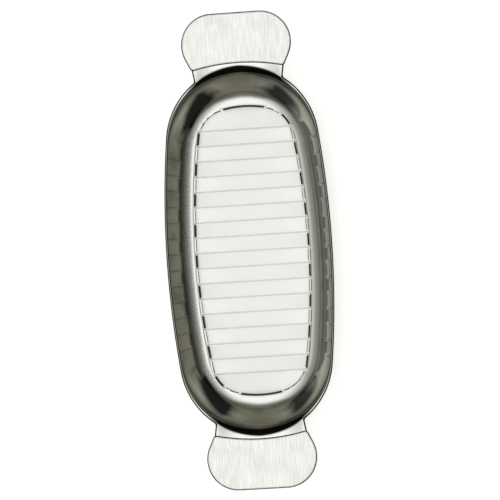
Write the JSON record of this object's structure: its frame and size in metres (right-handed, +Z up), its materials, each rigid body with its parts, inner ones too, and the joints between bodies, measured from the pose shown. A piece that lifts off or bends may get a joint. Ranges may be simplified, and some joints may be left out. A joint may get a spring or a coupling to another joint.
{
  "type": "egg slicer",
  "caption": "Hand-held slicer: a long dish pressed from sheet steel with parallel cutting wires laced across its open floor and a flat handle at each end.",
  "frame": {"origin": "below the middle of the opening, on the surface that the hooks and end tabs rest on", "axes": "+Y along the tool from handle to handle, +X along the cutting wires, +Z up, out of the dish"},
  "size_m": [0.069, 0.1968, 0.0163],
  "materials": {
    "bright_steel": "bright rolled stainless sheet",
    "brushed_steel": "brushed lengthwise",
    "wire_steel": "drawn spring wire, bright"
  },
  "bodies": {
    "root": {"pressed_frame": "bright_steel", "handle_plate_back": "brushed_steel", "handle_plate_front": "brushed_steel", "wire_span_01": "wire_steel", "wire_span_02": "wire_steel", "wire_span_03": "wire_steel", "wire_span_04": "wire_steel", "wire_span_05": "wire_steel", "wire_span_06": "wire_steel", "wire_span_07": "wire_steel", "wire_span_08": "wire_steel", "wire_span_09": "wire_steel", "wire_span_10": "wire_steel", "wire_span_11": "wire_steel", "wire_span_12": "wire_steel", "wire_span_13": "wire_steel", "wire_span_14": "wire_steel", "wire_span_15": "wire_steel", "wire_span_16": "wire_steel", "wire_span_17": "wire_steel", "wire_turns_left": "wire_steel", "wire_turns_right": "wire_steel", "wire_start_tail": "wire_steel", "wire_end_tail": "wire_steel"}
  },
  "joints": []
}
